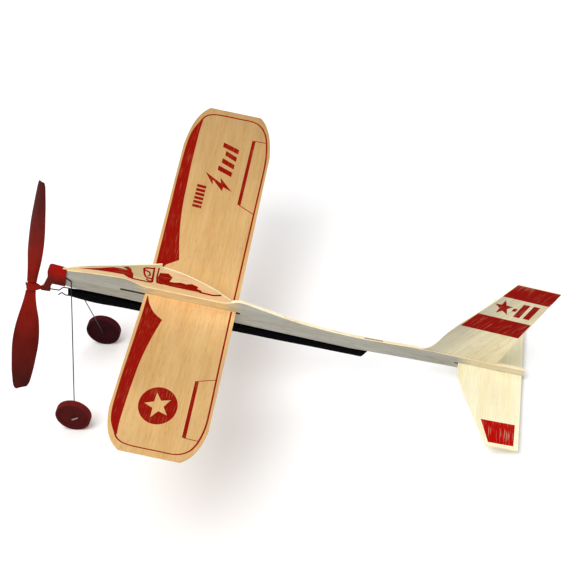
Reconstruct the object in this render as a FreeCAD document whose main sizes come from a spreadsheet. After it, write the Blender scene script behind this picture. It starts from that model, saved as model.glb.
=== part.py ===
import FreeCAD, Part
import math
import os

# Balsa plane driven by a rubber band: X runs aft, Y to starboard, Z up.
# Every piece is drawn in the plane's flying attitude, with z = 0 on the wing's root plane,
# and then stood on its two wheels and its tail with the origin on the floor under its middle.

V = FreeCAD.Vector
os.makedirs("parts", exist_ok=True)
doc = FreeCAD.newDocument("rubber_band_plane")

DIMENSIONS = [
    ("wing_span", 419.1, "tip to tip along the sheet"),
    ("wing_chord", 76.2, "width of the wing sheet"),
    ("wing_thickness", 1.6, "wing sheet"),
    ("wing_dihedral", 11.3, "rise of each half, degrees"),
    ("wing_front", 76.5, "leading edge aft of the datum"),
    ("wing_clearance", 0.05, "slot above and below the wing"),
    ("fuselage_thickness", 3.2, "fuselage sheet"),
    ("fuselage_end", 395.2, "tail end aft of the datum"),
    ("trim_thickness", 1.2, "canopy, fin and stabilizer sheets"),
    ("sheet_clearance", 0.03, "each side of a sheet in its groove"),
    ("stabilizer_height", -4.5, "middle of the stabilizer"),
    ("stabilizer_half_span", 85.6, "centreline to tip"),
    ("cap_width", 5.8, "nose cap, side to side"),
    ("arm_width", 4.4, "hanger arm under the nose cap, side to side"),
    ("bearing_diameter", 4.4, "outside of the bearing barrel"),
    ("bearing_length", 7.4, "bearing barrel along the shaft"),
    ("bearing_start", 8.4, "front of the bearing barrel aft of the hub"),
    ("thrust_angle", 4.5, "shaft rises toward the tail, degrees"),
    ("hub_x", -17.9, "propeller hub aft of the datum"),
    ("hub_z", -19.0, "propeller hub height"),
    ("propeller_radius", 89.0, "tip radius"),
    ("propeller_turn", 31.0, "blade away from upright, degrees"),
    ("wire_diameter", 1.0, "propeller shaft and rear hook"),
    ("gear_wire_diameter", 0.9, "landing gear"),
    ("bearing_bore", 1.1, "hole the shaft runs in"),
    ("hub_bore", 1.04, "hole the shaft is fixed in"),
    ("wheel_diameter", 30.2, "over the rim"),
    ("rim_width", 6.2, "wheel rim along the axle"),
    ("wheel_bore", 1.0, "hole the axle passes through"),
    ("hub_length", 4.8, "wheel hub along the axle"),
    ("web_thickness", 2.6, "wheel disc between hub and rim, at the hub"),
    ("wheel_x", 37.8, "axle aft of the datum"),
    ("wheel_y", 52.0, "wheel off the centreline"),
    ("wheel_z", -106.6, "axle height"),
    ("gear_skew", 2.2, "axle line off square, left wheel ahead, degrees"),
    ("band_width", 6.3, "flat rubber, on edge"),
    ("band_thickness", 1.1, "flat rubber"),
    ("band_height", -16.8, "middle of the rubber"),
    ("band_spread", 3.6, "outer face of a strand off the centreline where widest"),
]

sheet = doc.addObject("Spreadsheet::Sheet", "sizes")
for row, (alias, value, meaning) in enumerate(DIMENSIONS, start=1):
    sheet.set(f"A{row}", alias)
    sheet.set(f"B{row}", str(value))
    sheet.set(f"C{row}", meaning)
    sheet.setAlias(f"B{row}", alias)
doc.recompute()


def size(alias):
    return float(sheet.get(alias))


HALF_WIRE = size("wire_diameter") / 2
HALF_GEAR_WIRE = size("gear_wire_diameter") / 2


# ---------------------------------------------------------------- drawing helpers

def origin_plane(body, role):
    for feature in body.Origin.OriginFeatures:
        if feature.Role == role:
            return feature
    raise ValueError(role)


def new_body(name):
    body = doc.addObject("PartDesign::Body", name)
    body.Label = name
    return body


def new_sketch(body, name, role, offset=0.0):
    """A sketch on one of the body's own planes, moved along that plane's normal."""
    sketch = body.newObject("Sketcher::SketchObject", name)
    sketch.AttachmentSupport = [(origin_plane(body, role), "")]
    sketch.MapMode = "FlatFace"
    sketch.AttachmentOffset = FreeCAD.Placement(V(0, 0, offset), FreeCAD.Rotation())
    return sketch


def lines(points):
    """Straight edges through the points, in order."""
    flat = [V(x, y, 0) for x, y in points]
    return [Part.LineSegment(a, b) for a, b in zip(flat, flat[1:])]


def curve(points):
    """One smooth edge through the points."""
    spline = Part.BSplineCurve()
    spline.interpolate([V(x, y, 0) for x, y in points])
    return [spline]


def arc(start, middle, end):
    return [Part.Arc(V(*start, 0), V(*middle, 0), V(*end, 0))]


def circle(diameter, centre=V(0, 0, 0)):
    return Part.Circle(centre, V(0, 0, 1), diameter / 2)


def draw(sketch, edges):
    for edge in edges:
        sketch.addGeometry(edge, False)


def pad_symmetric(body, sketch, name, length_cell):
    pad = body.newObject("PartDesign::Pad", name)
    pad.Profile = sketch
    pad.SideType = "Symmetric"
    pad.setExpression("Length", f"sizes.{length_cell}")
    return pad


def cut_symmetric(body, sketch, name, length):
    pocket = body.newObject("PartDesign::Pocket", name)
    pocket.Profile = sketch
    pocket.SideType = "Symmetric"
    if isinstance(length, str):
        pocket.setExpression("Length", length)
    else:
        pocket.Length = length
    return pocket


def rounded_path(points, radius):
    """Edges along a bent wire: straight runs joined by tangent arcs at each bend."""
    corners = [V(*p) for p in points]
    edges = []
    start = corners[0]
    for before, corner, after in zip(corners, corners[1:], corners[2:]):
        into = (corner - before).normalize()
        out = (after - corner).normalize()
        bend = into.getAngle(out)
        reach = radius * math.tan(bend / 2)
        first = corner - into * reach
        last = corner + out * reach
        toward = (out - into).normalize()
        middle = corner + toward * (radius / math.cos(bend / 2) - radius)
        edges.append(Part.LineSegment(start, first))
        edges.append(Part.Arc(first, middle, last))
        start = last
    edges.append(Part.LineSegment(start, corners[-1]))
    return edges


# Places shared by pieces that fit together, in the flying attitude: aft and up from the datum.

CAP_BACK = 10.4                  # back face of the nose cap
TONGUE = (-6.9, 6.4)             # bottom and top of the fuselage tongue inside the cap
GROOVE_FLOOR = 5.0               # bottom of the canopy's groove
CANOPY_BACK = 146.8              # back end of the canopy and its groove
WING_SLOT = (55.6, 156.0)        # front and back of the wing's slit
STABILIZER_SLOT = (337.5, 394.3)
FIN_TAB = (320.0, 362.0)         # front and back of the fin's tab
FIN_TAB_DEPTH = 4.0
TAIL_TOP = 2.4                   # top edge of the boom under the fin
TAIL_LOW = -9.2                  # lower corner of the tail, which rests on the floor
STAPLE = (261.0, 275.4)          # front and back bends of the rear hook's wire
STAPLE_LIE = -0.35               # height of the wire along the top edge
STAPLE_PRONG = -5.0              # end of the prong pushed down into the sheet
HOOK_EXIT = (264.3, -12.9)       # where the wire leaves the lower edge
HOOK_FOOT = (260.2, -20.9)       # the bend at its lowest point
SHAFT_HOOK = 32.4                # bend that holds the rubber, aft of the hub along the shaft
GEAR_CROSS = (0.5, -0.3)         # the gear wire's run across the nose, inside the cap
GEAR_SIDE = 2.08                 # its bends off the centreline
BEND = 0.9                       # bend radius of every wire


# ---------------------------------------------------------------- fuselage

def wing_slot_heights():
    """Top and bottom of the slit that clears the shallow V of the wing sheet."""
    slope = math.radians(size("wing_dihedral"))
    half_sheet = size("wing_thickness") / 2 / math.cos(slope)
    rise = size("fuselage_thickness") / 2 * math.tan(slope)
    gap = size("wing_clearance")
    return -half_sheet - gap, half_sheet + rise + gap


def fuselage_outline():
    """Side view: tongue in the nose cap, humps ahead of and behind the wing, slim boom."""
    end = size("fuselage_end")
    shoulder = CAP_BACK + 0.1
    low, high = TONGUE
    top = [(shoulder, 8.1), (31, 10.6), (50, 12.2), (60, 12.3), (69.6, 9.4), (76, 8.0)]
    hump = [(138, 7.9), (147, 9.8), (153.5, 12.1), (162, 11.4), (203, 3.6), (229, 1.2),
            (255, 0.5), (280, 1.3), (300, TAIL_TOP)]
    edges = lines([(1.2, low), (1.2, high), (shoulder, high), (shoulder, 8.1)])
    edges += curve(top)
    edges += lines([top[-1], hump[0]])
    edges += curve(hump)
    edges += lines([hump[-1], (end, TAIL_TOP), (end, TAIL_LOW)])
    edges += lines([(end, TAIL_LOW), (338, -9.4), (275, -11.6), (250, -12.7)])
    edges += curve([(250, -12.7), (193, -11.6), (150, -10.8), (80, -9.7), (16, -9.8)])
    edges += lines([(16, -9.8), (shoulder, -8.9), (shoulder, low), (1.2, low)])
    return edges


def rectangle(left, right, low, high):
    return lines([(left, low), (right, low), (right, high), (left, high), (left, low)])


def make_fuselage():
    body = new_body("fuselage")
    outline = new_sketch(body, "fuselage_side", "XZ_Plane")
    draw(outline, fuselage_outline())
    pad_symmetric(body, outline, "fuselage_sheet", "fuselage_thickness")

    slots = new_sketch(body, "through_slots", "XZ_Plane")
    draw(slots, rectangle(*WING_SLOT, *wing_slot_heights()))
    half = size("trim_thickness") / 2 + size("sheet_clearance")
    middle = size("stabilizer_height")
    draw(slots, rectangle(*STABILIZER_SLOT, middle - half, middle + half))
    cut_symmetric(body, slots, "slots_cut", "sizes.fuselage_thickness + 2")

    grooves = new_sketch(body, "edge_grooves", "XZ_Plane")
    draw(grooves, rectangle(CAP_BACK, CANOPY_BACK + 0.05, GROOVE_FLOOR, 20))
    tab_floor = TAIL_TOP - FIN_TAB_DEPTH - 0.05
    draw(grooves, rectangle(FIN_TAB[0] - 0.05, FIN_TAB[1] + 0.05, tab_floor, 20))
    cut_symmetric(body, grooves, "grooves_cut", "sizes.trim_thickness + 2 * sizes.sheet_clearance")

    # the rear hook's wire lies in a channel along the top edge and slants down through the sheet
    channel = new_sketch(body, "hook_channel", "XZ_Plane")
    wide = HALF_WIRE + 0.08
    front, back = STAPLE
    exit_x, exit_z = HOOK_EXIT
    floor = STAPLE_LIE - HALF_WIRE - 0.05
    corner_cut = 0.6
    corner_z = -1.5
    lean = (exit_x - front) / (STAPLE_LIE - exit_z)
    knee = front + wide + lean * (STAPLE_LIE - corner_z)
    prong_end = STAPLE_PRONG - 0.2
    above = 8
    draw(channel, lines([
        (exit_x - wide, exit_z), (exit_x + wide, exit_z), (knee, corner_z), (knee + corner_cut, floor),
        (back - wide - corner_cut, floor), (back - wide, corner_z), (back - wide, prong_end),
        (back + wide, prong_end), (back + wide, above), (front - wide, above),
        (front - wide, STAPLE_LIE), (exit_x - wide, exit_z)]))
    cut_symmetric(body, channel, "channel_cut", "sizes.wire_diameter + 0.06")
    return body


# ---------------------------------------------------------------- wing

def wing_corner_front(half):
    """Leading edge corner of one half, as (distance aft, distance out), working outward."""
    front = size("wing_front")
    return [(front, half - 47), (front + 1.0, half - 38), (front + 3.4, half - 23.5),
            (front + 7.4, half - 11.5), (front + 15.5, half)]


def wing_corner_back(half):
    back = size("wing_front") + size("wing_chord")
    return [(back, half - 43), (back - 2.2, half - 28.0), (back - 6.0, half - 14.5),
            (back - 10.5, half - 5.5), (back - 15.5, half)]


def make_wing():
    body = new_body("wing")
    slope = math.radians(size("wing_dihedral"))
    half = size("wing_span") / 2
    out = half * math.cos(slope)
    up = half * math.sin(slope)
    lean = size("wing_thickness") / 2 * math.sin(slope)
    rise = size("wing_thickness") / 2 * math.cos(slope)
    middle = size("wing_thickness") / 2 / math.cos(slope)

    section = new_sketch(body, "wing_front_view", "YZ_Plane", size("wing_front"))
    draw(section, lines([
        (0, middle), (out - lean, up + rise), (out + lean, up - rise), (0, -middle),
        (-out - lean, up - rise), (-out + lean, up + rise), (0, middle)]))
    pad = body.newObject("PartDesign::Pad", "wing_sheet")
    pad.Profile = section
    pad.setExpression("Length", "sizes.wing_chord")

    beyond = 12
    for side, word in ((1, "starboard"), (-1, "port")):
        corners = new_sketch(body, f"tip_{word}", "XY_Plane")
        for points, shift in ((wing_corner_front(half), -beyond), (wing_corner_back(half), beyond)):
            flat = [(x, side * y * math.cos(slope)) for x, y in points]
            inner, outer = flat[0], flat[-1]
            far_x = inner[0] + shift
            far_y = outer[1] + side * beyond
            draw(corners, curve(flat))
            draw(corners, lines([outer, (outer[0], far_y), (far_x, far_y), (far_x, inner[1]), inner]))
        cut_symmetric(body, corners, f"tip_{word}_cut", 200)
    return body


# ---------------------------------------------------------------- canopy, fin, stabilizer

def make_canopy():
    body = new_body("canopy")
    outline = new_sketch(body, "canopy_side", "XZ_Plane")
    base = GROOVE_FLOOR + 0.05
    front = CAP_BACK + 0.15
    nib = 6.8
    draw(outline, lines([(front, base), (front, 7.8), (nib, 7.8), (nib, 8.4)]))
    draw(outline, curve([(nib, 8.4), (12, 11.1), (27, 17.3), (48.9, 24.0), (72.7, 31.3), (86.8, 36.0)]))
    draw(outline, lines([(86.8, 36.0), (87.2, 32.5)]))
    draw(outline, curve([(87.2, 32.5), (100.4, 30.8), (112.3, 27.7), (124.5, 23.2), (134, 19.0),
                         (143.4, 13.6), (CANOPY_BACK, 11.6)]))
    draw(outline, lines([(CANOPY_BACK, 11.6), (CANOPY_BACK, base), (front, base)]))
    pad_symmetric(body, outline, "canopy_sheet", "trim_thickness")
    return body


def make_fin():
    body = new_body("fin")
    outline = new_sketch(body, "fin_side", "XZ_Plane")
    tab = TAIL_TOP - FIN_TAB_DEPTH
    foot = TAIL_TOP + 0.02
    front, back = FIN_TAB
    draw(outline, curve([(307.5, foot), (313.5, 5.6), (322.4, 21), (343.4, 54.7), (366.7, 92.7)]))
    draw(outline, lines([(366.7, 92.7), (401.7, 91.8)]))
    draw(outline, curve([(401.7, 91.8), (396.1, 76), (387.9, 52.7), (381.0, 33), (370.7, foot)]))
    draw(outline, lines([(370.7, foot), (back, foot), (back, tab), (front, tab), (front, foot),
                         (307.5, foot)]))
    pad_symmetric(body, outline, "fin_sheet", "trim_thickness")
    return body


def make_stabilizer():
    body = new_body("stabilizer")
    plan = new_sketch(body, "stabilizer_plan", "XY_Plane", size("stabilizer_height"))
    tip = size("stabilizer_half_span")
    root_front, root_back = 340.5, 394.1
    tip_front, tip_back = 368.0, 393.9
    draw(plan, lines([
        (root_front, -15.2), (tip_front, -tip), (tip_back, -tip + 0.4), (root_back, 0),
        (tip_back, tip - 0.4), (tip_front, tip), (root_front, 15.2), (root_front, -15.2)]))
    pad_symmetric(body, plan, "stabilizer_sheet", "trim_thickness")
    return body


# ---------------------------------------------------------------- nose cap with propeller bearing

def thrust_placement():
    """Frame of the propeller: origin at the hub, x aft along the shaft."""
    turn = FreeCAD.Rotation(V(0, 1, 0), -size("thrust_angle"))
    return FreeCAD.Placement(V(size("hub_x"), 0, size("hub_z")), turn)


def thrust_line_sketch(body, name, diameter):
    """A circle square to the shaft, at the front of the bearing."""
    sketch = new_sketch(body, name, "YZ_Plane")
    tilt = FreeCAD.Rotation(V(1, 0, 0), -size("thrust_angle"))
    start = thrust_placement().multVec(V(size("bearing_start"), 0, 0))
    sketch.AttachmentOffset = FreeCAD.Placement(V(0, start.z, start.x), tilt)
    draw(sketch, [circle(diameter)])
    return sketch


def make_nose_cap():
    body = new_body("nose_cap")
    outline = new_sketch(body, "cap_side", "XZ_Plane")
    draw(outline, lines([(CAP_BACK, -8.8), (CAP_BACK, 7.35), (-2.4, 8.5)]))
    draw(outline, arc((-2.4, 8.5), (-4.3, 7.4), (-5.1, 5.3)))
    draw(outline, lines([(-5.1, 5.3), (-5.2, 3.5), (-4.6, -3.4), (-1.0, -8.8), (CAP_BACK, -8.8)]))
    pad_symmetric(body, outline, "cap_block", "cap_width")

    arm = new_sketch(body, "hanger_side", "XZ_Plane")
    draw(arm, lines([(-4.5, -2.6), (-7.8, -14.2), (-8.9, -17.2), (-3.3, -18.8), (-2.2, -15.0),
                     (-0.9, -10.6), (0.9, -7.0), (-4.5, -2.6)]))
    pad_symmetric(body, arm, "hanger_arm", "arm_width")

    barrel = thrust_line_sketch(body, "bearing_round", size("bearing_diameter"))
    round_pad = body.newObject("PartDesign::Pad", "bearing_barrel")
    round_pad.Profile = barrel
    round_pad.setExpression("Length", "sizes.bearing_length")
    bore = thrust_line_sketch(body, "bearing_hole", size("bearing_bore"))
    cut_symmetric(body, bore, "bearing_bore_cut", 40)

    tongue = new_sketch(body, "tongue_pocket", "XZ_Plane")
    low, high = TONGUE
    draw(tongue, rectangle(1.1, CAP_BACK + 5, low - 0.05, high + 0.05))
    cut_symmetric(body, tongue, "tongue_cut", "sizes.fuselage_thickness + 0.04")

    channel = new_sketch(body, "gear_channel", "XZ_Plane")
    reach = HALF_GEAR_WIRE + 0.05
    cross_x, cross_z = GEAR_CROSS
    draw(channel, rectangle(cross_x - reach, CAP_BACK + 5, cross_z - reach, cross_z + reach))
    cut_symmetric(body, channel, "gear_channel_cut", 2 * (GEAR_SIDE + reach))
    return body


# ---------------------------------------------------------------- propeller

# share of the tip radius, chord, angle to the plane of rotation, thickness, lead of the section's middle
BLADE = [
    (0.045, 8.5, 80.0, 4.2, 0.6),
    (0.11, 9.8, 74.0, 3.9, 1.0),
    (0.16, 11.6, 69.0, 3.4, 1.0),
    (0.225, 14.8, 60.0, 2.8, 0.9),
    (0.32, 20.8, 48.5, 2.2, 0.3),
    (0.43, 26.3, 41.0, 1.8, 0.4),
    (0.56, 29.5, 36.5, 1.5, -0.5),
    (0.70, 28.6, 33.5, 1.3, -1.2),
    (0.83, 26.2, 31.0, 1.2, -1.6),
    (0.92, 22.8, 29.5, 1.1, -2.2),
    (0.965, 19.5, 29.5, 1.0, -2.6),
    (1.0, 12.5, 29.5, 0.9, -3.6),
]


def blade_section(chord, angle, thickness, lead, side):
    """Cambered section: the leading edge is forward and toward the turning direction."""
    slope = math.radians(angle)
    along = V(-math.sin(slope), side * math.cos(slope), 0)
    forward = V(-math.cos(slope), -side * math.sin(slope), 0)
    middle = V(0, side * lead, 0)
    front = middle + along * (chord / 2)
    back = middle - along * (chord / 2)
    camber = chord * 0.045
    crown = middle + forward * (camber + thickness)
    hollow = middle + forward * camber
    return [Part.Arc(back, crown, front), Part.Arc(front, hollow, back)]


def make_propeller():
    body = new_body("propeller")
    hub = new_sketch(body, "hub_profile", "XY_Plane")
    bore = size("hub_bore") / 2
    draw(hub, lines([(-3.9, bore), (-3.9, 2.6)]))
    draw(hub, arc((-3.9, 2.6), (-2.6, 4.0), (0, 4.5)))
    draw(hub, lines([(0, 4.5), (3.0, 3.7), (8.1, 1.4), (8.1, bore), (-3.9, bore)]))
    turned = body.newObject("PartDesign::Revolution", "hub_round")
    turned.Profile = hub
    turned.ReferenceAxis = (hub, ["H_Axis"])
    turned.Angle = 360

    tip = size("propeller_radius")
    for side, word in ((1, "upper"), (-1, "lower")):
        stations = []
        for number, (share, chord, angle, thickness, lead) in enumerate(BLADE):
            name = f"{word}_section_{number}"
            section = new_sketch(body, name, "XY_Plane", side * share * tip)
            draw(section, blade_section(chord, angle, thickness, lead, side))
            stations.append(section)
        loft = body.newObject("PartDesign::AdditiveLoft", f"{word}_blade")
        loft.Profile = stations[0]
        loft.Sections = stations[1:]
    return body


# ---------------------------------------------------------------- bent wires

def make_bent_wire(name, points):
    """Round wire following points drawn in its side view."""
    body = new_body(name)
    spine = new_sketch(body, f"{name}_bends", "XZ_Plane")
    draw(spine, rounded_path([(x, z, 0) for x, z in points], BEND))
    first, second = points[0], points[1]
    upright = abs(second[0] - first[0]) < abs(second[1] - first[1])
    role = "XY_Plane" if upright else "YZ_Plane"
    offset = first[1] if upright else first[0]
    section = new_sketch(body, f"{name}_section", role, offset)
    centre = V(first[0], 0, 0) if upright else V(0, first[1], 0)
    draw(section, [circle(size("wire_diameter"), centre)])
    pipe = body.newObject("PartDesign::AdditivePipe", f"{name}_wire")
    pipe.Profile = section
    pipe.Spine = (spine, [])
    return body


def make_propeller_shaft():
    """Front end turned over against the hub, S-shaped hook at the back for the rubber."""
    return make_bent_wire("propeller_shaft", [
        (-4.5, 3.8), (-4.5, 0), (23.4, 0), (26.7, 3.9), (SHAFT_HOOK, 3.9), (SHAFT_HOOK, -4.4),
        (28.6, -4.4), (25.5, -2.2), (22.8, -5.2)])


def make_rear_hook():
    front, back = STAPLE
    foot_x, foot_z = HOOK_FOOT
    return make_bent_wire("rear_hook", [
        (back, STAPLE_PRONG), (back, STAPLE_LIE), (front, STAPLE_LIE), HOOK_EXIT, HOOK_FOOT,
        (foot_x - 3.8, foot_z)])


def ground_pitch():
    """Nose-up angle of the plane standing on its wheels and the lower corner of its tail."""
    run = size("fuselage_end") - size("wheel_x")
    drop = TAIL_LOW - size("wheel_z")
    reach = math.hypot(run, drop)
    return math.degrees(math.atan2(drop, run) + math.asin(size("wheel_diameter") / 2 / reach))


def axle_turn():
    """From straight across to the axle line: off square, but level once the plane stands."""
    aft = math.tan(math.radians(size("gear_skew")))
    up = aft * math.tan(math.radians(ground_pitch()))
    return FreeCAD.Rotation(V(0, 1, 0), V(aft, 1, up))


def on_axle(along, aft=0.0, up=0.0):
    """A point by the axle line, measured to starboard from its middle."""
    return V(size("wheel_x"), 0, size("wheel_z")) + axle_turn().multVec(V(aft, along, up))


def make_landing_gear():
    """Clamped across the nose by the cap, one raked leg and axle each side."""
    inboard = size("wheel_y") - size("hub_length") / 2 - 0.8
    outboard = size("wheel_y") + size("hub_length") / 2 + 3.4
    turned_up = (4.8, 4.4)
    cross_x, cross_z = GEAR_CROSS
    halves = []
    for side in (-1, 1):
        clamped = [V(cross_x, side * GEAR_SIDE, cross_z), V(11.2, side * GEAR_SIDE, cross_z),
                   V(14.9, side * (GEAR_SIDE + 0.1), -2.4)]
        axle = [on_axle(side * inboard), on_axle(side * outboard), on_axle(side * outboard, *turned_up)]
        halves.append(clamped + axle)
    route = halves[0][::-1] + halves[1]
    spine = Part.Wire([edge.toShape() for edge in rounded_path(route, BEND)])
    section = Part.Wire(Part.Circle(route[0], route[1] - route[0], HALF_GEAR_WIRE).toShape())
    gear = doc.addObject("Part::Feature", "landing_gear")
    gear.Label = "landing_gear"
    gear.Shape = spine.makePipeShell([section], True, True)
    return gear


# ---------------------------------------------------------------- wheels

def make_wheel(name):
    body = new_body(name)
    half = new_sketch(body, f"{name}_profile", "XY_Plane")
    rim = size("wheel_diameter") / 2
    hub = size("hub_length") / 2
    hole = size("wheel_bore") / 2
    side = size("rim_width") / 2
    web = size("web_thickness") / 2
    upper = [(hole, hub), (1.9, hub), (2.4, hub - 0.5), (3.4, web), (rim - 3.0, web + 0.5),
             (rim - 2.0, side), (rim - 0.5, side), (rim, side - 0.5)]
    lower = [(x, -y) for x, y in reversed(upper)]
    draw(half, lines(upper + lower + upper[:1]))
    turned = body.newObject("PartDesign::Revolution", f"{name}_disc")
    turned.Profile = half
    turned.ReferenceAxis = (half, ["V_Axis"])
    turned.Angle = 360
    return body


# ---------------------------------------------------------------- rubber band

def band_outline(front, back, end_radius, inset):
    """Plan view of one face of the loop: round the two hooks, strands bowed apart between."""
    length = back - front
    wide = size("band_spread") - inset
    bow = [(0.035, 0.72), (0.10, 1.0), (0.24, 0.66), (0.56, 0.84)]
    side = [(front, end_radius)]
    side += [(front + share * length, part * wide) for share, part in bow]
    side.append((back, end_radius))
    mirrored = [(x, -y) for x, y in reversed(side)]
    edges = curve(side)
    edges += arc(side[-1], (back + end_radius, 0), mirrored[0])
    edges += curve(mirrored)
    edges += arc(mirrored[-1], (front - end_radius, 0), side[0])
    return edges


def hook_at(height):
    """Where the wires of the front and rear hooks stand at that height."""
    hook = thrust_placement().multVec(V(SHAFT_HOOK, 0, 0))
    front = hook.x - (height - hook.z) * math.tan(math.radians(size("thrust_angle")))
    (exit_x, exit_z), (foot_x, foot_z) = HOOK_EXIT, HOOK_FOOT
    back = foot_x + (height - foot_z) * (exit_x - foot_x) / (exit_z - foot_z)
    return front, back


def make_rubber_band():
    body = new_body("rubber_band")
    low = size("band_height") - size("band_width") / 2
    thick = size("band_thickness")
    inner = HALF_WIRE + 0.12
    profiles = {}
    for place, height in (("low", low), ("high", low + size("band_width"))):
        front, back = hook_at(height)
        for face, end, inset in (("outer", inner + thick, 0), ("inner", inner, thick)):
            sketch = new_sketch(body, f"{face}_{place}", "XY_Plane", height)
            draw(sketch, band_outline(front, back, end, inset))
            profiles[face, place] = sketch
    for face, kind in (("outer", "Additive"), ("inner", "Subtractive")):
        loft = body.newObject(f"PartDesign::{kind}Loft", f"band_{face}")
        loft.Profile = profiles[face, "low"]
        loft.Sections = [profiles[face, "high"]]
        loft.Ruled = True
    return body


# ---------------------------------------------------------------- assembly

flying = FreeCAD.Placement()
propeller_turn = FreeCAD.Placement(V(0, 0, 0), FreeCAD.Rotation(V(1, 0, 0), -size("propeller_turn")))


def wheel_placement(side):
    return FreeCAD.Placement(on_axle(side * size("wheel_y")), axle_turn())


PIECES = [
    (make_fuselage(), flying),
    (make_wing(), flying),
    (make_canopy(), flying),
    (make_fin(), flying),
    (make_stabilizer(), flying),
    (make_nose_cap(), flying),
    (make_propeller(), thrust_placement() * propeller_turn),
    (make_propeller_shaft(), thrust_placement()),
    (make_rubber_band(), flying),
    (make_rear_hook(), flying),
    (make_landing_gear(), flying),
    (make_wheel("wheel_left"), wheel_placement(-1)),
    (make_wheel("wheel_right"), wheel_placement(1)),
]
doc.recompute()

standing = FreeCAD.Placement(V(0, 0, 0), FreeCAD.Rotation(V(0, 1, 0), ground_pitch()))
for piece, own in PIECES:
    piece.Placement = standing * own
doc.recompute()

box = FreeCAD.BoundBox()
for piece, own in PIECES:
    box.add(piece.Shape.optimalBoundingBox(False))
to_floor = FreeCAD.Placement(V(-box.Center.x, -box.Center.y, -box.ZMin), FreeCAD.Rotation())
for piece, own in PIECES:
    piece.Placement = to_floor * standing * own
doc.recompute()

CUTS = ("PartDesign::Pocket", "PartDesign::SubtractiveLoft")
for item in doc.Objects:
    bad = [word for word in item.State if word in ("Invalid", "Error")]
    if bad:
        raise RuntimeError(f"{item.Name}: {bad}")
    if item.TypeId in CUTS and item.Shape.Volume > item.BaseFeature.Shape.Volume - 1e-3:
        raise RuntimeError(f"{item.Name} cuts nothing")

for piece, own in PIECES:
    shape = piece.Shape
    if shape.isNull() or not shape.isValid() or len(shape.Solids) != 1:
        raise RuntimeError(f"{piece.Label} is not one valid solid")
    shape.exportStep(f"parts/{piece.Label}.step")
    print(piece.Label, round(shape.Volume, 1), shape.BoundBox)
print("pitch", ground_pitch(), "shift", -box.Center.x, -box.Center.y, -box.ZMin)
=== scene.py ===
import math

import bmesh
import bpy
from mathutils import Matrix, Vector
from mathutils.geometry import delaunay_2d_cdt


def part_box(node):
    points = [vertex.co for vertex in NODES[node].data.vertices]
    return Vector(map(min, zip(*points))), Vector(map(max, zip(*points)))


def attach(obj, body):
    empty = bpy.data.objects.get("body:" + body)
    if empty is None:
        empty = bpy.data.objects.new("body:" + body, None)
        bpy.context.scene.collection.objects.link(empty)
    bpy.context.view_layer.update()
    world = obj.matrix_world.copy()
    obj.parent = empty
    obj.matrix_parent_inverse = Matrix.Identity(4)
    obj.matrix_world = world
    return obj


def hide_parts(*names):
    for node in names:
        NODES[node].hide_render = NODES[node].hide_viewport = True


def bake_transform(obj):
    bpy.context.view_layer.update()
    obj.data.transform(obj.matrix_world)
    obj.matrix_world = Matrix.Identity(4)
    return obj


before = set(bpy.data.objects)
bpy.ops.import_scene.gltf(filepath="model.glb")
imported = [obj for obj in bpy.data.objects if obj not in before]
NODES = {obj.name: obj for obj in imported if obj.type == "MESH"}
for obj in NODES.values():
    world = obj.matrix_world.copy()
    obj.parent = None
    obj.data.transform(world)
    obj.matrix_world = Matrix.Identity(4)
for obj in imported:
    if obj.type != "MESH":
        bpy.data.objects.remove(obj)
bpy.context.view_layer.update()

# ---------------------------------------------------------------- flying attitude and the floor
# Shapes are given in millimetres in the plane's flying attitude: x aft, y to starboard, z up,
# z = 0 on the wing's root plane. The plane stands nose-up on its wheels and tail.

PITCH = math.radians(17.58046)
ORIGIN = Vector((-0.183604, 0.0, 0.128138))
LIFT = Matrix.Rotation(PITCH, 3, "Y")
MM = 0.001

# Levels and thicknesses of the CAD pieces, in mm.
WING_SHEET = 1.6
TRIM_SHEET = 1.2
STABILIZER_LEVEL = -4.5
THRUST_LINE = -16.8


def stand(x, y, z):
    """A point of the flying plane, in mm, as it stands on the floor, in metres."""
    return LIFT @ Vector((x * MM, y * MM, z * MM)) + ORIGIN


def fly(point):
    """The reverse of stand."""
    return (LIFT.transposed() @ (Vector(point) - ORIGIN)) / MM


# ---------------------------------------------------------------- materials

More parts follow.
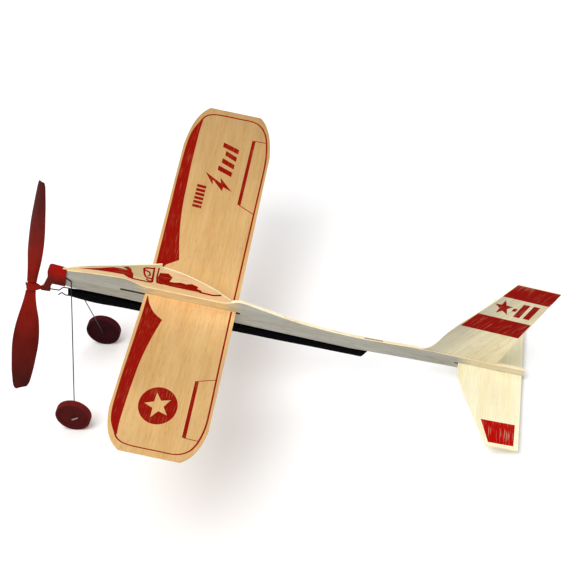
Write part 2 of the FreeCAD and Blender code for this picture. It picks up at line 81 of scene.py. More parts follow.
class Shader:
    """Short names for building one node material."""

    def __init__(self, name):
        self.material = bpy.data.materials.new(name)
        self.material.use_nodes = True
        self.tree = self.material.node_tree
        self.surface = self.tree.nodes["Principled BSDF"]

    def add(self, kind, links=None, **values):
        node = self.tree.nodes.new(kind)
        for key, value in values.items():
            setattr(node, key, value)
        for key, source in (links or {}).items():
            self.feed(node.inputs[key], source)
        return node

    def feed(self, socket, source):
        if isinstance(source, bpy.types.NodeSocket):
            self.tree.links.new(source, socket)
        else:
            socket.default_value = source

    def put(self, **inputs):
        for key, source in inputs.items():
            self.feed(self.surface.inputs[key.replace("_", " ")], source)

    def position(self):
        return self.add("ShaderNodeTexCoord").outputs["Object"]

    def mapped(self, source, rotation=(0, 0, 0), scale=(1, 1, 1), location=(0, 0, 0)):
        links = {"Vector": source, "Rotation": rotation, "Scale": scale, "Location": location}
        return self.add("ShaderNodeMapping", links).outputs["Vector"]

    def noise(self, source, scale=1.0, detail=2.0, roughness=0.5, distortion=0.0):
        links = {"Vector": source, "Scale": scale, "Detail": detail, "Roughness": roughness,
                 "Distortion": distortion}
        return self.add("ShaderNodeTexNoise", links).outputs["Fac"]

    def along(self, vector, direction):
        """How far a vector reaches along a direction of the flying attitude."""
        node = self.add("ShaderNodeVectorMath", operation="DOT_PRODUCT")
        self.feed(node.inputs[0], vector)
        self.feed(node.inputs[1], tuple(LIFT @ Vector(direction)))
        return node.outputs["Value"]

    def facing(self, direction):
        """1 where the surface faces that way in the flying attitude, 0 elsewhere."""
        normal = self.add("ShaderNodeTexCoord").outputs["Normal"]
        barely, mostly = 0.55, 0.8
        return self.ramp(self.along(normal, direction), barely, mostly)

    def span(self, direction, *stops):
        """A value that follows (distance, value) stops along a direction.

        Distances are in mm from the datum of the flying plane.
        """
        reach = self.along(self.position(), direction)
        reach = self.math("SUBTRACT", reach, ORIGIN.dot(LIFT @ Vector(direction)))
        result = stops[0][1]
        for (start, low), (end, high) in zip(stops, stops[1:]):
            if low != high:
                rise = self.ramp(reach, start * MM, end * MM, 0.0, high - low)
                result = self.math("ADD", result, rise)
        return result

    def nearness(self, centre, inner, outer):
        """1 within the inner distance of a point, in mm, falling to 0 at the outer."""
        links = {0: self.position(), 1: tuple(centre)}
        away = self.add("ShaderNodeVectorMath", links, operation="DISTANCE")
        return self.ramp(away.outputs["Value"], inner * MM, outer * MM, 1.0, 0.0)

    def ramp(self, source, low, high, start=0.0, end=1.0):
        """Source rescaled from low..high to start..end, held beyond."""
        links = {"Value": source, "From Min": low, "From Max": high, "To Min": start, "To Max": end}
        return self.add("ShaderNodeMapRange", links).outputs["Result"]

    def mix(self, factor, first, second):
        node = self.add("ShaderNodeMix", data_type="RGBA")
        self.feed(node.inputs["Factor"], factor)
        self.feed(node.inputs["A"], first)
        self.feed(node.inputs["B"], second)
        return node.outputs["Result"]

    def math(self, operation, first, second):
        node = self.add("ShaderNodeMath", operation=operation)
        self.feed(node.inputs[0], first)
        self.feed(node.inputs[1], second)
        return node.outputs["Value"]

    def bump(self, height, strength, distance):
        links = {"Height": height, "Strength": strength, "Distance": distance}
        return self.add("ShaderNodeBump", links).outputs["Normal"]


def linear(red, green, blue):
    """A display colour, 0 to 255, as scene-linear RGBA."""
    def one(value):
        share = value / 255
        return share / 12.92 if share <= 0.04045 else ((share + 0.055) / 1.055) ** 2.4
    return (one(red), one(green), one(blue), 1.0)


def scaled(colour, share):
    """The colour at that share of its brightness."""
    return tuple(c * share for c in colour[:3]) + (1.0,)


AFT, STARBOARD, UP = (1, 0, 0), (0, 1, 0), (0, 0, 1)
BLACK = (0.0, 0.0, 0.0, 1.0)
PORE_BROWN = (0.13, 0.085, 0.035, 1.0)
SCUFF_PINK = (0.6, 0.35, 0.3, 1.0)


def wing_tones_and_painted_light(s, pale, warm):
    """Painted light, brightest beside the fuselage on the port half; greyest at the starboard tip.
    """
    # Painted light: bright lightens the wood beside the fuselage against the shade the fuselage and
    # canopy cast there.
    bright = s.span(STARBOARD, (-190, 0.1), (-130, 0.06), (-108, 0.02), (-65, 0.03), (-45, 0.15),
                    (-30, 0.38), (-13, 0.85), (-1, 0.85), (1, 0.25), (30, 0.22), (70, 0.0))
    grey = s.span(STARBOARD, (80, 0.0), (205, 0.5))
    pale = s.mix(grey, s.mix(bright, pale, linear(252, 208, 146)), linear(150, 124, 84))
    warm = s.mix(grey, s.mix(bright, warm, linear(250, 200, 134)), linear(140, 110, 70))
    return pale, warm


def canopy_tones(s, pale, warm):
    """Greyer ahead of the pilot; brighter behind and along the foot."""
    grey = s.span(AFT, (62, 0.75), (88, 0.0))
    behind, foot = s.span(AFT, (82, 0.0), (94, 0.95)), s.span(UP, (14, 0.7), (17, 0.0))
    bright = s.math("MAXIMUM", behind, foot)
    pale = s.mix(bright, s.mix(grey, pale, linear(200, 182, 144)), linear(255, 226, 180))
    warm = s.mix(bright, s.mix(grey, warm, linear(184, 166, 128)), linear(240, 208, 160))
    return pale, warm


def fin_tones(s, pale, warm):
    """The rear of the fin's foot is brighter, its slanted front greyer."""
    off_the_front = (0.857, 0, -0.514)
    grey = s.span(off_the_front, (267, 0.6), (285, 0.0))
    rear, foot = s.span(AFT, (338, 0.0), (378, 0.9)), s.span(UP, (28, 1.0), (56, 0.25))
    bright = s.math("MULTIPLY", rear, foot)
    pale = s.mix(bright, s.mix(grey, pale, linear(172, 169, 158)), linear(252, 240, 208))
    warm = s.mix(bright, s.mix(grey, warm, linear(158, 154, 142)), linear(244, 228, 184))
    return pale, warm


def tail_painted_fin_shadow(s, pale, warm):
    """Painted shadow of the fin: the starboard half of the stabilizer is greyer beside it."""
    past_the_fin = s.span(STARBOARD, (0.5, 0.0), (2.5, 1.0))
    # Painted shadow: grey is the fin's shadow on the starboard half.
    grey = s.math("MULTIPLY", past_the_fin, s.span(STARBOARD, (14, 0.42), (60, 0.12)))
    return s.mix(grey, pale, linear(176, 164, 128)), s.mix(grey, warm, linear(162, 148, 108))


def stick_painted_light(s, pale, warm):
    """Painted light and shade: lit top edges, sides lit warm by wing and tail, a shaded slit floor.
    """
    up = s.facing(UP)
    # Painted light thrown up from the wing and the stabilizer onto the sides above them.
    wing_bounce_paint = s.math("MULTIPLY", s.span(AFT, (66, 0.0), (84, 1.0), (140, 1.0), (158, 0.0)),
                       s.span(UP, (-1.0, 0.0), (2.5, 0.9)))
    tail_bounce_paint = s.math("MULTIPLY", s.span(AFT, (338, 0.0), (352, 1.0)),
                       s.span(UP, (STABILIZER_LEVEL, 0.0), (STABILIZER_LEVEL + 1.0, 0.6)))
    # Painted highlight: the top edges are given the lit edge colour.
    edge = s.math("MULTIPLY", up, s.span(UP, (0.0, 0.0), (0.3, 1.0)))
    # Painted shade: the floor of the slit is painted dark.
    slit = s.math("MULTIPLY", up, s.span(UP, (-0.5, 1.0), (-0.2, 0.0)))
    tones = []
    for tone, lit, glow in ((pale, EDGE_PALE, linear(241, 216, 162)),
                            (warm, EDGE_WARM, linear(231, 201, 141))):
        tone = s.mix(wing_bounce_paint, tone, glow)
        tone = s.mix(tail_bounce_paint, tone, scaled(lit, 1.04))
        tone = s.mix(edge, tone, lit)
        tones.append(s.mix(slit, tone, linear(70, 62, 50)))
    return tones


def balsa(name, pale, warm, along, across, turn=0.0, ink=None, seed=0.0, tones=None,
          figure=1.0, bare=0.2):
    """Soft pale wood with fine straight grain and short dark pores; ink is printed over it.

    along is the axis of the flying attitude, turned by turn about y, that the grain follows, and
    across the axes it crosses. tones varies the two wood colours over the piece, and on some
    pieces paints light and shade into them. figure is how strongly the grain shows, and bare how
    much wood shows where the ink has missed the grain.
    """
    s = Shader(name)
    flat = s.mapped(s.position(), rotation=(0, -PITCH - turn, 0),
                    location=(seed, seed * 0.7, seed * 1.3))

    def stretched(cross, length):
        scale = [0.0, 0.0, 0.0]
        scale["xyz".index(along)] = length
        for axis in across:
            scale["xyz".index(axis)] = cross
        return s.mapped(flat, scale=tuple(scale))

    broad = s.noise(stretched(95, 7), detail=3, roughness=0.6, distortion=0.15)
    lines_wide = s.noise(stretched(380, 14), detail=3, roughness=0.6)
    lines_fine = s.noise(stretched(1500, 46), detail=2, roughness=0.6)
    pores = s.noise(stretched(1250, 105), detail=1, roughness=0.4)
    blotch = s.noise(flat, scale=17, detail=2)

    if tones is not None:
        pale, warm = tones(s, pale, warm)
    wood = s.mix(s.ramp(broad, 0.32, 0.68), pale, warm)
    shade = s.ramp(lines_wide, 0.42, 0.78, 0.0, 0.15 * figure)
    shade = s.math("ADD", shade, s.ramp(lines_fine, 0.46, 0.76, 0.0, 0.20 * figure))
    dark_pore = s.ramp(pores, 0.60, 0.72, 0.0, 0.16 * figure)
    shade = s.math("ADD", shade, dark_pore)
    shade = s.math("ADD", shade, s.ramp(blotch, 0.35, 0.75, 0.0, 0.10))
    wood = s.mix(shade, wood, PORE_BROWN)
    height = s.math("SUBTRACT", lines_fine, dark_pore)

    if ink is None:
        s.put(Base_Color=wood, Specular_IOR_Level=0.08)
    else:
        fleck = s.noise(stretched(2500, 58), detail=1, roughness=0.5)
        thin = s.noise(stretched(700, 26), detail=2, roughness=0.5)
        patch = s.noise(flat, scale=60, detail=1)
        edge = s.ramp(patch, 0.3, 0.7, 0.66, 0.57)
        open_grain = s.ramp(s.math("SUBTRACT", fleck, edge), 0.0, 0.10, 0.0, bare)
        depth = s.mix(s.ramp(thin, 0.35, 0.75, 0.0, 0.4), ink, scaled(ink, 0.75))
        depth = s.mix(s.ramp(lines_fine, 0.5, 0.8, 0.0, 0.3), depth, scaled(ink, 0.6))
        s.put(Base_Color=s.mix(open_grain, depth, wood), Specular_IOR_Level=0.03)
    s.put(Roughness=s.ramp(lines_fine, 0.3, 0.7, 0.6, 0.8))
    s.put(Normal=s.bump(height, 0.3, 0.00005))
    return s.material


def moulded(name, colour, rough, deep, gloss, spot):
    """Cheap moulded plastic: slightly uneven colour, flow marks, handling scuffs.

    rough is the least roughness and gloss the strength of the highlights. deep is the share of
    the colour left where it clouds darkest. spot is (centre, inner radius, outer radius, colour),
    radii in mm: the colour around that point, used as painted light and shade.
    """
    s = Shader(name)
    where = s.position()
    centre, inner, outer, spot_colour = spot
    # Painted light and shade: the spot colour around the spot's centre.
    colour = s.mix(s.nearness(centre, inner, outer), colour, spot_colour)
    cloud = s.noise(where, scale=45, detail=3)
    flow = s.noise(s.mapped(where, scale=(200, 60, 60)), detail=2, distortion=0.6)
    scuff = s.noise(s.mapped(where, rotation=(0.4, 0.9, 0.2), scale=(2200, 260, 900)), detail=2)
    grit = s.noise(where, scale=3600, detail=2)
    tint = s.mix(s.ramp(cloud, 0.3, 0.7, 0.0, 1.0 - deep), colour, BLACK)
    tint = s.mix(s.ramp(flow, 0.4, 0.8, 0.0, 0.1), tint, BLACK)
    worn = s.ramp(scuff, 0.66, 0.75, 0.0, 0.05)
    tint = s.mix(worn, tint, SCUFF_PINK)
    s.put(Base_Color=tint, Roughness=s.ramp(cloud, 0.3, 0.7, rough, rough + 0.14))
    s.put(Normal=s.bump(s.math("ADD", grit, scuff), 0.2, 0.00004), Specular_IOR_Level=gloss)
    return s.material


def drawn_wire(name, painted_glint_ends):
    """Dull drawn steel with a painted glint at the given ends."""
    s = Shader(name)
    where = s.position()
    stain = s.noise(where, scale=240, detail=3, roughness=0.65)
    draw_lines = s.noise(s.mapped(where, scale=(5200, 5200, 160)), detail=2)
    steel = s.mix(s.ramp(stain, 0.42, 0.75), linear(26, 26, 30), linear(10, 10, 10))
    # Painted glint: bright steel colour around each axle end.
    for end in painted_glint_ends:
        steel = s.mix(s.nearness(end, 2.5, 5.0), steel, linear(170, 158, 150))
    s.put(Specular_IOR_Level=0.2)
    s.put(Base_Color=steel, Metallic=0.4, Roughness=s.ramp(draw_lines, 0.3, 0.7, 0.32, 0.5))
    s.put(Normal=s.bump(draw_lines, 0.25, 0.00003))
    return s.material


def dusted_rubber(name):
    """Matt black rubber, streaked along its length, with a little dust."""
    s = Shader(name)
    where = s.position()
    length = s.mapped(where, rotation=(0, -PITCH, 0), scale=(60, 900, 1600))
    streak = s.noise(length, detail=3, roughness=0.6)
    dust = s.noise(where, scale=1400, detail=3, roughness=0.7)
    black = s.mix(s.ramp(streak, 0.35, 0.75), linear(0, 0, 1), linear(5, 5, 9))
    black = s.mix(s.ramp(dust, 0.62, 0.8, 0.0, 0.06), black, linear(30, 30, 36))
    s.put(Base_Color=black, Roughness=s.ramp(streak, 0.3, 0.7, 0.55, 0.75))
    s.put(Normal=s.bump(s.math("ADD", streak, dust), 0.3, 0.00008), Specular_IOR_Level=0.03)
    return s.material


WING_PALE, WING_WARM = linear(212, 172, 116), linear(202, 158, 98)
TAIL_PALE, TAIL_WARM = linear(253, 249, 218), linear(247, 236, 194)
FIN_PALE, FIN_WARM = linear(224, 216, 186), linear(210, 200, 164)
CANOPY_PALE, CANOPY_WARM = linear(228, 206, 158), linear(212, 188, 140)
# The EDGE colours serve the cut sheet edges and, as painted light, the fuselage's lit top edges.
EDGE_PALE, EDGE_WARM = linear(255, 240, 206), linear(246, 224, 178)
# Painted shade: the fuselage's wood is painted grey and dark, as its sides stand in shade.
STICK_SHADED_PALE, STICK_SHADED_WARM = linear(177, 176, 167), linear(160, 157, 144)
WING_RED, CANOPY_RED = linear(140, 14, 3), linear(151, 15, 3)
TAIL_RED, FIN_RED = linear(178, 10, 4), linear(140, 16, 10)
GRAIN_SWEEP = math.radians(57.0)    # the fin's grain runs along its slanted front

WING_WOOD = balsa("wing_balsa_face_painted_light", WING_PALE, WING_WARM, "y", ("x",), tones=wing_tones_and_painted_light)
WING_INK = balsa("wing_balsa_ink", WING_PALE, WING_WARM, "y", ("x",), ink=WING_RED)
WING_EDGE = balsa("wing_balsa_edge", linear(228, 188, 128), linear(214, 168, 108), "y", ("x", "z"))
STAB_WOOD = balsa("stabilizer_balsa_face_painted_shadow", TAIL_PALE, TAIL_WARM, "y", ("x",), seed=0.31,
                  tones=tail_painted_fin_shadow, figure=0.6)
STAB_INK = balsa("stabilizer_balsa_ink", TAIL_PALE, TAIL_WARM, "y", ("x",), ink=TAIL_RED,
                 seed=0.31, bare=0.32)
FIN_WOOD = balsa("fin_balsa_face", FIN_PALE, FIN_WARM, "x", ("z",), turn=-GRAIN_SWEEP, seed=0.53,
                 tones=fin_tones, figure=1.25)
FIN_INK = balsa("fin_balsa_ink", FIN_PALE, FIN_WARM, "x", ("z",), turn=-GRAIN_SWEEP, ink=FIN_RED,
                seed=0.53, bare=0.36)
CANOPY_WOOD = balsa("canopy_balsa_face", CANOPY_PALE, CANOPY_WARM, "x", ("z",), seed=0.77,
                    tones=canopy_tones, figure=0.8)
CANOPY_INK = balsa("canopy_balsa_ink", CANOPY_PALE, CANOPY_WARM, "x", ("z",), ink=CANOPY_RED,
                   seed=0.77)
CUT_EDGE = balsa("balsa_cut_edge", EDGE_PALE, EDGE_WARM, "x", ("y", "z"), seed=0.9, figure=0.6)
STICK_WOOD = balsa("fuselage_balsa_painted_light", STICK_SHADED_PALE, STICK_SHADED_WARM, "x", ("y", "z"), seed=0.11,
                   tones=stick_painted_light, figure=1.25)
# Painted light on the cap: a bright red pool about its top; painted shade, a dark red, elsewhere.
CAP_TOP = stand(5, 0, 8.5)
RED_PLASTIC = moulded("cap_red_plastic_painted_light", linear(97, 26, 20), rough=0.5, deep=0.6, gloss=0.04,
                      spot=(CAP_TOP, 3.5, 15, linear(168, 15, 3)))
# Painted light on the propeller: bright red around the lower blade near the hub; painted shade, a
# dark red, elsewhere.
LOWER_BLADE = stand(-19, 0, -28)
PROPELLER_PLASTIC = moulded("propeller_red_plastic_painted_light", linear(84, 27, 24), rough=0.62, deep=0.6,
                            gloss=0.03, spot=(LOWER_BLADE, 12, 75, linear(142, 29, 19)))


def node_middle(node):
    low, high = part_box(node)
    return (Vector(low) + Vector(high)) / 2


def wheel_plastic(name, node, tread, face):
    """Painted light: the tread, lit from above, is a livelier red than the two faces."""
    face_radius, tread_radius = 14.85, 15.05
    return moulded(name, tread, rough=0.65, deep=0.8, gloss=0.02,
                   spot=(node_middle(node), face_radius, tread_radius, face))


def axle_end(node, side):
    """Where the axle's turned-up end stands, outboard of its wheel."""
    aft, outboard, up = 3, 6.5, 2
    return node_middle(node) + LIFT @ Vector((aft * MM, side * outboard * MM, up * MM))


WHEEL_PORT = wheel_plastic("wheel_port_plastic_painted_light", "wheel_left",
                           linear(104, 28, 27), linear(80, 25, 25))
# Painted shade: the starboard wheel is painted darker all over, as it stands in shadow.
WHEEL_STARBOARD = wheel_plastic("wheel_starboard_plastic_painted_shade_and_light", "wheel_right",
                                linear(70, 22, 27), linear(49, 17, 22))
WIRE = drawn_wire("drawn_steel_wire_painted_glint", [axle_end("wheel_left", -1), axle_end("wheel_right", 1)])
RUBBER = dusted_rubber("dusted_black_rubber")


# ---------------------------------------------------------------- printed balsa sheets

def smooth(points, steps=6):
    """Points along a smooth (Catmull-Rom) line through the given points."""
    result = []
    last = len(points) - 1
    for i in range(last):
        before, start = points[max(i - 1, 0)], points[i]
        end, after = points[i + 1], points[min(i + 2, last)]
        for step in range(steps):
            t = step / steps
            blend = []
            for a, b, c, d in zip(before, start, end, after):
                blend.append(0.5 * (2 * b + (c - a) * t + (2 * a - 5 * b + 4 * c - d) * t ** 2
                                    + (3 * b - a - 3 * c + d) * t ** 3))
            result.append(tuple(blend))
    result.append(points[-1])
    return result


def stroke(points, width):
    """The outline of a pen stroke of that width along the points."""
    path = [Vector(p) for p in points]
    last = len(path) - 1
    left, right = [], []
    for i, point in enumerate(path):
        heading = (path[min(i + 1, last)] - path[max(i - 1, 0)]).normalized()
        side = Vector((-heading.y, heading.x)) * width / 2
        left.append(tuple(point + side))
        right.append(tuple(point - side))
    return left + right[::-1]


def ellipse(u, v, half_u, half_v):
    steps = 64
    angles = [2 * math.pi / steps * i for i in range(steps)]
    return [(u + half_u * math.cos(a), v + half_v * math.sin(a)) for a in angles]


def flipped(points):
    return [(u, -v) for u, v in points]


def counter_clockwise(points):
    area = sum(a[0] * b[1] - b[0] * a[1] for a, b in zip(points, points[1:] + points[:1]))
    return points if area > 0 else points[::-1]


def sheet_outline(node, directions, flatten):
    """Outline of the flat side of a CAD sheet that faces those directions, in sheet millimetres."""
    mesh = bmesh.new()
    mesh.from_mesh(NODES[node].data)
    bmesh.ops.remove_doubles(mesh, verts=mesh.verts, dist=1e-6)
    mesh.normal_update()
    aligned = 0.9995
    side = [f for f in mesh.faces if any(f.normal.dot(d) > aligned for d in directions)]
    members = set(side)
    following = {}
    for face in side:
        for loop in face.loops:
            if sum(other in members for other in loop.edge.link_faces) == 1:
                following[loop.vert.index] = loop.link_loop_next.vert.index
    mesh.verts.ensure_lookup_table()
    start = next(iter(following))
    outline, here = [], start
    while True:
        outline.append(tuple(flatten(fly(mesh.verts[here].co))))
        here = following[here]
        if here == start:
            break
    mesh.free()
    return counter_clockwise(outline)


def printed_sheet(name, outline, prints, place, thickness, materials, creases=()):
    """A thin sheet with printed areas on its outer side.

    prints are (kind, polygon) pairs, kind "ink" or "bare", later ones over earlier ones.
    place turns sheet coordinates and a depth below the printed side, all in mm, into the frame.
    materials are the plain wood, the printed wood and the cut edge.
    """
    wood_slot, ink_slot, edge_slot = range(3)
    points, lines, faces = [], [], []
    for polygon in [outline] + [shape for _, shape in prints]:
        ring = counter_clockwise(list(polygon))
        first = len(points)
        points += [Vector(p) for p in ring]
        faces.append(list(range(first, first + len(ring))))
    for a, b in creases:
        points += [Vector(a), Vector(b)]
        lines.append((len(points) - 2, len(points) - 1))
    inside_only, tolerance = 1, 1e-4
    cut = delaunay_2d_cdt(points, lines, faces, inside_only, tolerance)
    spots, _, triangles, _, _, sources = cut

    kept, slots = [], []
    for triangle, source in zip(triangles, sources):
        if 0 in source:
            on_top = max(source)
            inked = on_top > 0 and prints[on_top - 1][0] == "ink"
            kept.append(triangle)
            slots.append(ink_slot if inked else wood_slot)

    count = len(spots)
    vertices = [place(u, v, 0.0) for u, v in spots] + [place(u, v, thickness) for u, v in spots]
    polygons = [tuple(t) for t in kept] + [tuple(count + i for i in reversed(t)) for t in kept]
    slots += [wood_slot] * len(kept)
    sides = [(a, b) for t in kept for a, b in zip(t, t[1:] + t[:1])]
    known = set(sides)
    for a, b in sides:
        if (b, a) not in known:
            polygons.append((b, a, count + a, count + b))
            slots.append(edge_slot)
    mesh = bpy.data.meshes.new(name)
    mesh.from_pydata(vertices, [], polygons)
    for material in materials:
        mesh.materials.append(material)
    mesh.polygons.foreach_set("material_index", slots)
    mesh.validate()
    mesh.update()
    sheet = bpy.data.objects.new(name, mesh)
    bpy.context.collection.objects.link(sheet)
    outward = bmesh.new()
    outward.from_mesh(mesh)
    bmesh.ops.delete(outward, geom=[v for v in outward.verts if not v.link_faces], context="VERTS")
    bmesh.ops.recalc_face_normals(outward, faces=outward.faces)
    outward.to_mesh(mesh)
    outward.free()
    return sheet


def soften(piece, width):
    """Takes the sharpness off the piece's edges; width is in mm."""
    bevel = piece.modifiers.new("worn_edges", "BEVEL")
    bevel.width = width * MM
    bevel.segments = 2
    bevel.limit_method = "ANGLE"
    bevel.angle_limit = math.radians(50)


# ---------------------------------------------------------------- wing

DIHEDRAL = math.radians(11.3)
PANEL_UP = [LIFT @ Vector((0, -side * math.sin(DIHEDRAL), math.cos(DIHEDRAL)))
            for side in (1, -1)]
CREASE_TOP = WING_SHEET / 2 / math.cos(DIHEDRAL)


def wing_flatten(point):
    return point.x, point.y / math.cos(DIHEDRAL)


def wing_place(u, v, depth):
    """v runs out along each raised half from the crease."""
    side = 0 if abs(v) < 1e-3 else math.copysign(1, v)
    down = depth if side else depth / math.cos(DIHEDRAL)
    y = v * math.cos(DIHEDRAL) + side * down * math.sin(DIHEDRAL)
    z = abs(v) * math.sin(DIHEDRAL) + CREASE_TOP - (down * math.cos(DIHEDRAL) if side else down)
    return stand(u, y, z)


def wing_prints():
    """A swept flash behind each leading edge, running into a fine border line, and an aileron."""
    front = smooth([(78.9, 4.6), (79.0, 32), (78.8, 76), (78.4, 116), (78.6, 153), (79.5, 170),
                    (81.8, 182), (86.7, 194.4)])
    back = [(88.0, 193.0), (87.2, 178), (87.2, 162), (87.3, 142), (87.9, 122), (88.6, 100),
            (90.4, 78)]
    port_root = [(93.1, 55), (96.1, 35), (91.0, 30.4), (86.6, 24.6), (82.0, 14.4), (79.7, 4.8)]
    starboard_root = [(93.3, 58), (97.0, 38.8), (91.0, 34.2), (86.5, 30.0), (82.0, 17.0),
                      (79.7, 4.8)]
    port, starboard = [front + smooth(back + root[:2]) + smooth(root[1:])
                       for root in (port_root, starboard_root)]
    border = smooth([(86.2, 192.2), (88.6, 197.2), (92.6, 200.9), (98, 202.6), (104.3, 203.1),
                     (119, 203.1), (132.2, 202.9), (140, 198.4), (145, 189.9), (148.2, 176.7),
                     (149.9, 160), (150.0, 136), (149.6, 99.5), (149.2, 50), (148.9, 2.5)], 5)
    aileron = [stroke([(135.4, 108.4), (136.0, 181.6)], 2.9),
               stroke([(135.4, 108.4), (149.4, 101.6)], 0.85),
               stroke([(136.0, 181.6), (147.0, 182.0)], 0.85)]
    both = [stroke(border, 1.4)] + aileron
    prints = [("ink", shape) for shape in [starboard] + both]
    prints += [("ink", flipped(shape)) for shape in [port] + both]
    return prints + roundel() + speed_flash()


def star(u, v, half_u, half_v, turn):
    """A five-pointed star; turn is the direction of its first point."""
    points, waist = 5, 0.42
    corners = []
    for i in range(2 * points):
        reach = 1.0 if i % 2 == 0 else waist
        angle = turn + math.pi * i / points
        corners.append((u + half_u * reach * math.cos(angle), v + half_v * reach * math.sin(angle)))
    return corners


def roundel():
    """A plain star left bare in a solid disc on the port half."""
    u, v = 111.3, -149.0
    return [("ink", ellipse(u, v, 14.7, 23.6)), ("bare", star(u, v, 10.4, 16.8, turn=math.pi))]


def bar(u, v, across, along, slant):
    """A slanted block, its foot nearer the root."""
    return [(u, v), (u, v + along), (u - across, v + along + slant), (u - across, v + slant)]


def speed_flash():
    """A jagged bolt with a row of slanted bars, and six small bars, on the starboard half."""
    shapes = [[(127.0, 120.6), (114.8, 133.6), (116.2, 127.6), (100.8, 137.0), (109.4, 124.2),
               (108.6, 130.0), (118.6, 119.4), (118.8, 124.0)]]
    for i, across in enumerate((13.0, 11.4, 10.4, 14.6)):
        shapes.append(bar(123.6 + 0.5 * i, 136.6 + 8.8 * i, across, along=5.2, slant=5.0))
    for i in range(6):
        shapes.append(bar(104.6, 96.4 + 4.4 * i, 8.0, along=3.0, slant=0.5))
    return [("ink", shape) for shape in shapes]


ROOT_CREASE = ((60, 0), (170, 0))
wing = printed_sheet(
    "wing_sheet", sheet_outline("wing", PANEL_UP, wing_flatten), wing_prints(), wing_place,
    WING_SHEET, (WING_WOOD, WING_INK, WING_EDGE), creases=[ROOT_CREASE])
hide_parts("wing")
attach(wing, "wing")
soften(wing, 0.14)


# ---------------------------------------------------------------- canopy, fin, stabilizer

PORT = Vector((0, -1, 0))


def upright_flatten(point):
    return point.x, point.z


def upright_place(u, v, depth):
    return stand(u, depth - TRIM_SHEET / 2, v)


def canopy_prints():
    """A hood ahead of the cockpit, posts and seat behind it, and a pilot in a few strokes."""
    hood = [(19, 12.6), (37, 17.9), (47.8, 22.0), (55, 22.4), (62, 21.9), (64.6, 19.6),
            (65.0, 12.9), (61.0, 13.9), (56.7, 16.2), (51.2, 16.0), (44, 15.6), (36, 14.9)]
    windshield = [(55.4, 24.4), (59.6, 25.9), (62.4, 24.4), (63.4, 20.6), (58.9, 20.6),
                  (59.2, 22.6)]
    sill = stroke([(64.4, 13.8), (72, 13.6), (80.4, 13.9)], 1.5)
    helmet = smooth([(73.0, 25.0), (72.8, 27.2), (75.6, 28.8), (80.6, 29.4)], 5)
    brow = [(73.0, 26.2), (77.6, 24.6), (78.4, 21.4), (76.6, 20.2)]
    chin = smooth([(73.0, 26.0), (73.4, 22.6), (74.6, 19.6), (76.8, 18.0), (80.0, 17.8)], 5)
    shoulder = smooth([(75.4, 16.6), (77.6, 15.2), (80.6, 14.6)], 4)
    post = [(80.4, 31.0), (81.8, 31.0), (81.6, 14.0), (79.6, 14.0)]
    back_post = [(84.2, 31.4), (85.4, 31.6), (84.8, 21.0), (86.2, 16.0), (90.0, 13.6), (84.0, 14.2),
                 (83.4, 21)]
    seat = [(86.0, 26.3), (93.0, 27.4), (96.8, 23.8), (94.8, 18.6), (99, 18.8), (103.6, 20.2),
            (108.7, 19.6), (113.1, 21.2), (118.6, 19.4), (118.0, 17.0), (121.6, 16.0),
            (122.3, 13.7), (108.2, 13.6), (95.6, 13.8), (84.7, 14.6), (86.0, 17.6), (84.8, 20.4)]
    tail_line = stroke([(120, 13.9), (131.7, 13.4), (138.3, 15.4)], 1.8)
    cockpit = [hood, windshield, sill, post, back_post, seat, tail_line]
    pilot = [stroke(line, 1.6) for line in (helmet, brow, chin, shoulder)]
    return [("ink", shape) for shape in cockpit + pilot]


def fin_prints():
    """Two bands across the fin and, between them, a star, a dash and two slanted bars."""
    lower = [(333.0, 37.4), (381.0, 36.0), (387.0, 53.0), (343.6, 54.4)]
    upper = [(358.0, 77.6), (395.8, 76.4), (404.6, 96), (365.8, 96)]
    dash = [(368.4, 64.0), (371.6, 63.9), (372.9, 67.3), (369.7, 67.4)]
    bars = [[(foot, 58.2), (foot + 5.2, 58.1), (foot + 10.8, 73.4), (foot + 5.6, 73.5)]
            for foot in (370.8, 378.8)]
    fin_star = star(361.4, 65.9, 7.8, 8.6, turn=math.pi / 2)
    return [("ink", shape) for shape in [lower, upper, fin_star, dash] + bars]


def stabilizer_prints():
    """One red panel near each tip."""
    panel = [(362.4, 59.0), (390.4, 58.2), (389.9, 81.4), (369.4, 82.2)]
    return [("ink", panel), ("ink", flipped(panel))]


def stabilizer_flatten(point):
    return point.x, point.y


def stabilizer_place(u, v, depth):
    return stand(u, v, STABILIZER_LEVEL + TRIM_SHEET / 2 - depth)


canopy = printed_sheet(
    "canopy_sheet", sheet_outline("canopy", [PORT], upright_flatten), canopy_prints(),
    upright_place, TRIM_SHEET, (CANOPY_WOOD, CANOPY_INK, CUT_EDGE))
fin = printed_sheet(
    "fin_sheet", sheet_outline("fin", [PORT], upright_flatten), fin_prints(),
    upright_place, TRIM_SHEET, (FIN_WOOD, FIN_INK, CUT_EDGE))
stabilizer = printed_sheet(
    "stabilizer_sheet", sheet_outline("stabilizer", [LIFT @ Vector(UP)], stabilizer_flatten),
    stabilizer_prints(), stabilizer_place, TRIM_SHEET, (STAB_WOOD, STAB_INK, CUT_EDGE))
for piece, node in ((canopy, "canopy"), (fin, "fin"), (stabilizer, "stabilizer")):
    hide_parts(node)
    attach(piece, "airframe")
    soften(piece, 0.12)


# ---------------------------------------------------------------- rubber band

# Where the loop's middle line turns round the shaft hook and the rear hook, in mm.
HOOK_FRONT, HOOK_BACK = 14.43, 262.3
# How far the strip leans aft at each hook, for each mm above the thrust line, to lie flat against
# the hook's slanted wire.
LEAN_FRONT, LEAN_BACK = -0.0787, 0.5125


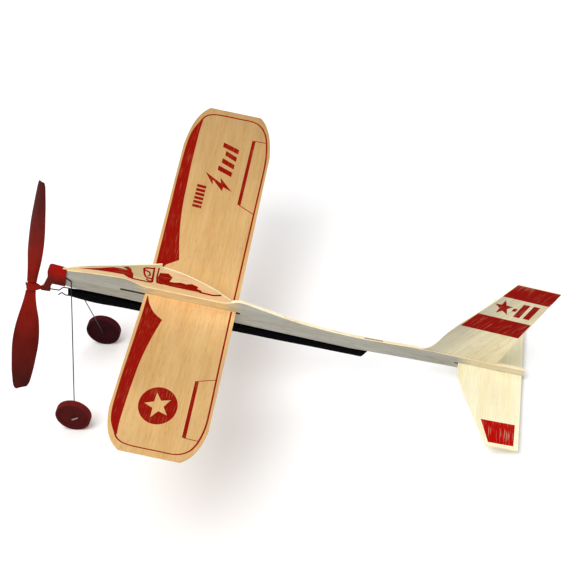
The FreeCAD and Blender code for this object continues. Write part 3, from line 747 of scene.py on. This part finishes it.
def band_path():
    """Middle line of the loop in plan, once round both hooks."""
    length = HOOK_BACK - HOOK_FRONT
    wire_radius, half_thick = 0.56, 0.55
    radius = wire_radius + half_thick
    shares = ((0.035, 2.10), (0.10, 3.02), (0.24, 1.88), (0.56, 2.46))
    bowed = [(HOOK_FRONT + share * length, y) for share, y in shares]
    side = smooth([(HOOK_FRONT, radius)] + bowed + [(HOOK_BACK, radius)], 28)
    turns = [math.pi * i / 10 for i in range(1, 10)]
    round_back = [(HOOK_BACK + radius * math.sin(a), radius * math.cos(a)) for a in turns]
    round_front = [(HOOK_FRONT - radius * math.sin(a), -radius * math.cos(a)) for a in turns]
    return side + round_back + [(x, -y) for x, y in reversed(side)] + round_front


def rounded_strip():
    """Cross-section of the flat rubber, standing on edge."""
    half_width, half_thick, corner = 3.12, 0.53, 0.3
    strip = []
    for cx, cz, start in ((1, 1, 0), (-1, 1, 90), (-1, -1, 180), (1, -1, 270)):
        for extra in (0, 45, 90):
            angle = math.radians(start + extra)
            strip.append((cx * (half_thick - corner) + corner * math.cos(angle),
                          cz * (half_width - corner) + corner * math.sin(angle)))
    return strip


def band_ripple(x, y):
    """A slight rise and fall of each strand, dying out at the hooks."""
    height, waves, fade_length = 0.10, 0.11, 30
    phase = 1 if y > 0 else 2.1
    fade = min(1, abs(x - HOOK_FRONT) / fade_length, abs(HOOK_BACK - x) / fade_length)
    return height * math.sin(x * waves + phase) * fade


def make_band():
    """Flat rubber on edge: a rounded strip swept round the loop."""
    path, strip = band_path(), rounded_strip()
    vertices = []
    for i, (x, y) in enumerate(path):
        heading = (Vector(path[(i + 1) % len(path)]) - Vector(path[i - 1])).normalized()
        side = Vector((-heading.y, heading.x))
        share = (x - HOOK_FRONT) / (HOOK_BACK - HOOK_FRONT)
        lean = LEAN_FRONT * max(0.0, 1 - share) + LEAN_BACK * max(0.0, share)
        rise = THRUST_LINE + band_ripple(x, y)
        for out, up in strip:
            vertices.append(stand(x + side.x * out + lean * up, y + side.y * out, rise + up))
    count, around = len(path), len(strip)
    polygons = []
    for i in range(count):
        j = (i + 1) % count
        for k in range(around):
            m = (k + 1) % around
            polygons.append((i * around + k, i * around + m, j * around + m, j * around + k))
    mesh = bpy.data.meshes.new("rubber_loop")
    mesh.from_pydata(vertices, [], polygons)
    mesh.materials.append(RUBBER)
    mesh.polygons.foreach_set("use_smooth", [True] * len(polygons))
    mesh.update()
    band = bpy.data.objects.new("rubber_loop", mesh)
    bpy.context.collection.objects.link(band)
    return band


band = make_band()
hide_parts("rubber_band")
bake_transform(band)


# ---------------------------------------------------------------- pieces that keep their CAD shape

def dress(node, material):
    for slot in NODES[node].material_slots:
        slot.material = material


dress("fuselage", STICK_WOOD)
dress("nose_cap", RED_PLASTIC)
dress("propeller", PROPELLER_PLASTIC)
dress("wheel_left", WHEEL_PORT)
dress("wheel_right", WHEEL_STARBOARD)
for node in ("propeller_shaft", "rear_hook", "landing_gear"):
    dress(node, WIRE)
soften(NODES["fuselage"], 0.15)
soften(NODES["nose_cap"], 0.25)


# ---------------------------------------------------------------- floor, light, camera

def make_floor():
    s = Shader("pale_floor")
    where = s.position()
    cloud = s.noise(where, scale=3, detail=3)
    grit = s.noise(where, scale=900, detail=2)
    s.put(Base_Color=s.mix(cloud, linear(252, 252, 253), linear(248, 248, 250)), Roughness=0.9)
    s.put(Normal=s.bump(grit, 0.05, 0.0001))
    bpy.ops.mesh.primitive_plane_add(size=40)
    floor = bpy.context.object
    floor.name = "floor"
    floor.data.materials.append(s.material)


def add_area(name, location, size, power, colour):
    """A round lamp that points at the plane's middle."""
    target = Vector((0, 0, 0.05))
    light = bpy.data.lights.new(name, "AREA")
    light.shape = "DISK"
    light.size = size
    light.energy = power
    light.color = colour
    lamp = bpy.data.objects.new(name, light)
    lamp.location = location
    lamp.rotation_euler = (target - Vector(location)).to_track_quat("-Z", "Y").to_euler()
    bpy.context.collection.objects.link(lamp)


def light_studio():
    world = bpy.data.worlds.new("studio")
    bpy.context.scene.world = world
    world.use_nodes = True
    background = world.node_tree.nodes["Background"]
    background.inputs["Color"].default_value = (0.97, 0.985, 1, 1)
    background.inputs["Strength"].default_value = 0.62
    add_area("key", (-0.5, -0.8, 2.1), size=2.0, power=40, colour=(1, 0.985, 0.955))
    add_area("far_fill", (0.5, 1.5, 1.5), size=1.2, power=7, colour=(1, 1, 1))


def place_camera():
    """The viewing angle: from the port side and above, rolled a little.

    The axes are given in the flying attitude; back points away from the plane.
    """
    data = bpy.data.cameras.new("camera")
    data.sensor_width = 36.0
    data.lens = 108.93
    data.clip_end = 100
    data.dof.use_dof = False
    camera = bpy.data.objects.new("camera", data)
    right = LIFT @ Vector((0.9789, 0.1306, 0.1571))
    up = LIFT @ Vector((-0.2039, 0.6728, 0.7112))
    back = right.cross(up)
    turn = Matrix((right, up, back)).transposed()
    place = stand(172.05, -1025.32, 1003.03)
    camera.matrix_world = Matrix.Translation(place) @ turn.to_4x4()
    bpy.context.collection.objects.link(camera)
    bpy.context.scene.camera = camera


make_floor()
light_studio()
place_camera()
bpy.context.scene.view_settings.view_transform = "Standard"
